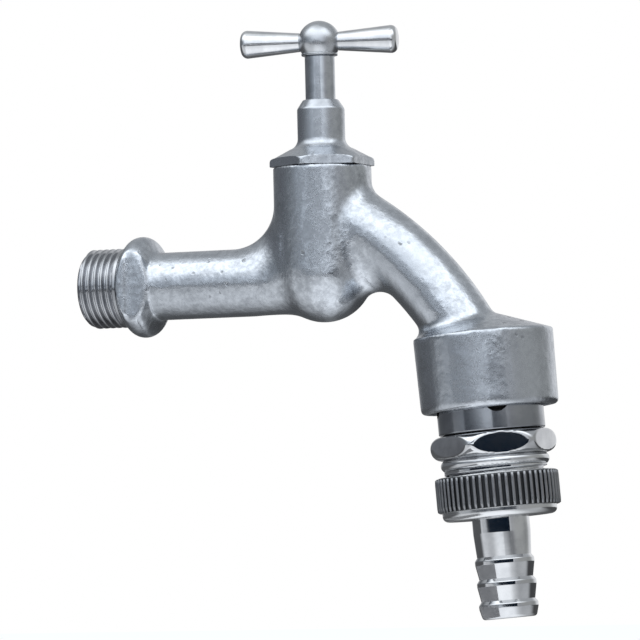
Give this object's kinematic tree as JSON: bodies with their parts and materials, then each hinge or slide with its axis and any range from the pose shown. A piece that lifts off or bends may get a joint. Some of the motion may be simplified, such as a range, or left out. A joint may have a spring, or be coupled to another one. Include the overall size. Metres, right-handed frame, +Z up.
{
  "type": "bib tap",
  "caption": "Wall-mounted bib tap with a two-arm handle, a rising valve spindle, a curved spout, a vacuum breaker and a barbed hose union.",
  "frame": {"origin": "on the inlet axis at the shoulder where the wall thread meets the collar", "axes": "+X runs out from the wall along the inlet, +Z is up along the stem, +Y is to the left of someone who faces the wall from the front"},
  "size_m": [0.1289, 0.036, 0.1566],
  "materials": {
    "cast_chrome": "satin, fine cast mottle under thin plating",
    "turned_chrome": "polished",
    "satin_spindle": "satin, turned",
    "brass": "turned",
    "rubber": "matte",
    "white_plastic": "matte",
    "steel": "bright"
  },
  "bodies": {
    "body": {"valve_body": "cast_chrome", "bonnet": "cast_chrome", "bonnet_gasket": "rubber", "breaker_gasket": "rubber", "breaker_body": "turned_chrome", "check_cage": "white_plastic", "check_spring": "steel", "air_diaphragm": "rubber", "adapter_o_ring": "rubber", "hex_adapter": "turned_chrome"},
    "jumper_set": {"jumper": "brass", "seat_washer": "rubber", "washer_screw": "brass"},
    "spindle_set": {"spindle": "satin_spindle", "spindle_o_rings": "rubber", "handle_hub": "turned_chrome", "handle_arm_left": "turned_chrome", "handle_arm_right": "turned_chrome", "handle_grub_screw": "steel"},
    "poppet_set": {"check_poppet": "white_plastic", "poppet_seal": "rubber"},
    "tail_set": {"hose_tail": "turned_chrome", "tail_washer": "rubber"},
    "nut": {"union_nut": "turned_chrome"}
  },
  "joints": [
    {"name": "spindle_rise", "type": "slide", "parent": "body", "child": "jumper_set", "axis": [0, 0, 1], "range_m": [0, 0.005]},
    {"name": "spindle_turn", "type": "hinge", "parent": "jumper_set", "child": "spindle_set", "pos_m": [0.0552, 0, 0], "axis": [0, 0, 1], "range_deg": [0, 900]},
    {"name": "check_slide", "type": "slide", "parent": "body", "child": "poppet_set", "axis": [0.075, 0, -0.9972], "range_m": [0, 0.0025], "stiffness_N_per_m": 60, "springref_m": -0.002, "deforming": ["check_spring"]},
    {"name": "tail_drop", "type": "slide", "parent": "body", "child": "tail_set", "axis": [0.075, 0, -0.9972], "range_m": [0, 0.00363]},
    {"name": "nut_turn", "type": "hinge", "parent": "tail_set", "child": "nut", "pos_m": [0.1014, 0, -0.05569], "axis": [0.075, 0, -0.9972], "range_deg": [0, 720]}
  ],
  "couplings": [
    {"joint": "spindle_turn", "follows": "spindle_rise", "rad_per_m": 3141.6},
    {"joint": "nut_turn", "follows": "tail_drop", "rad_per_m": 3463.7}
  ]
}
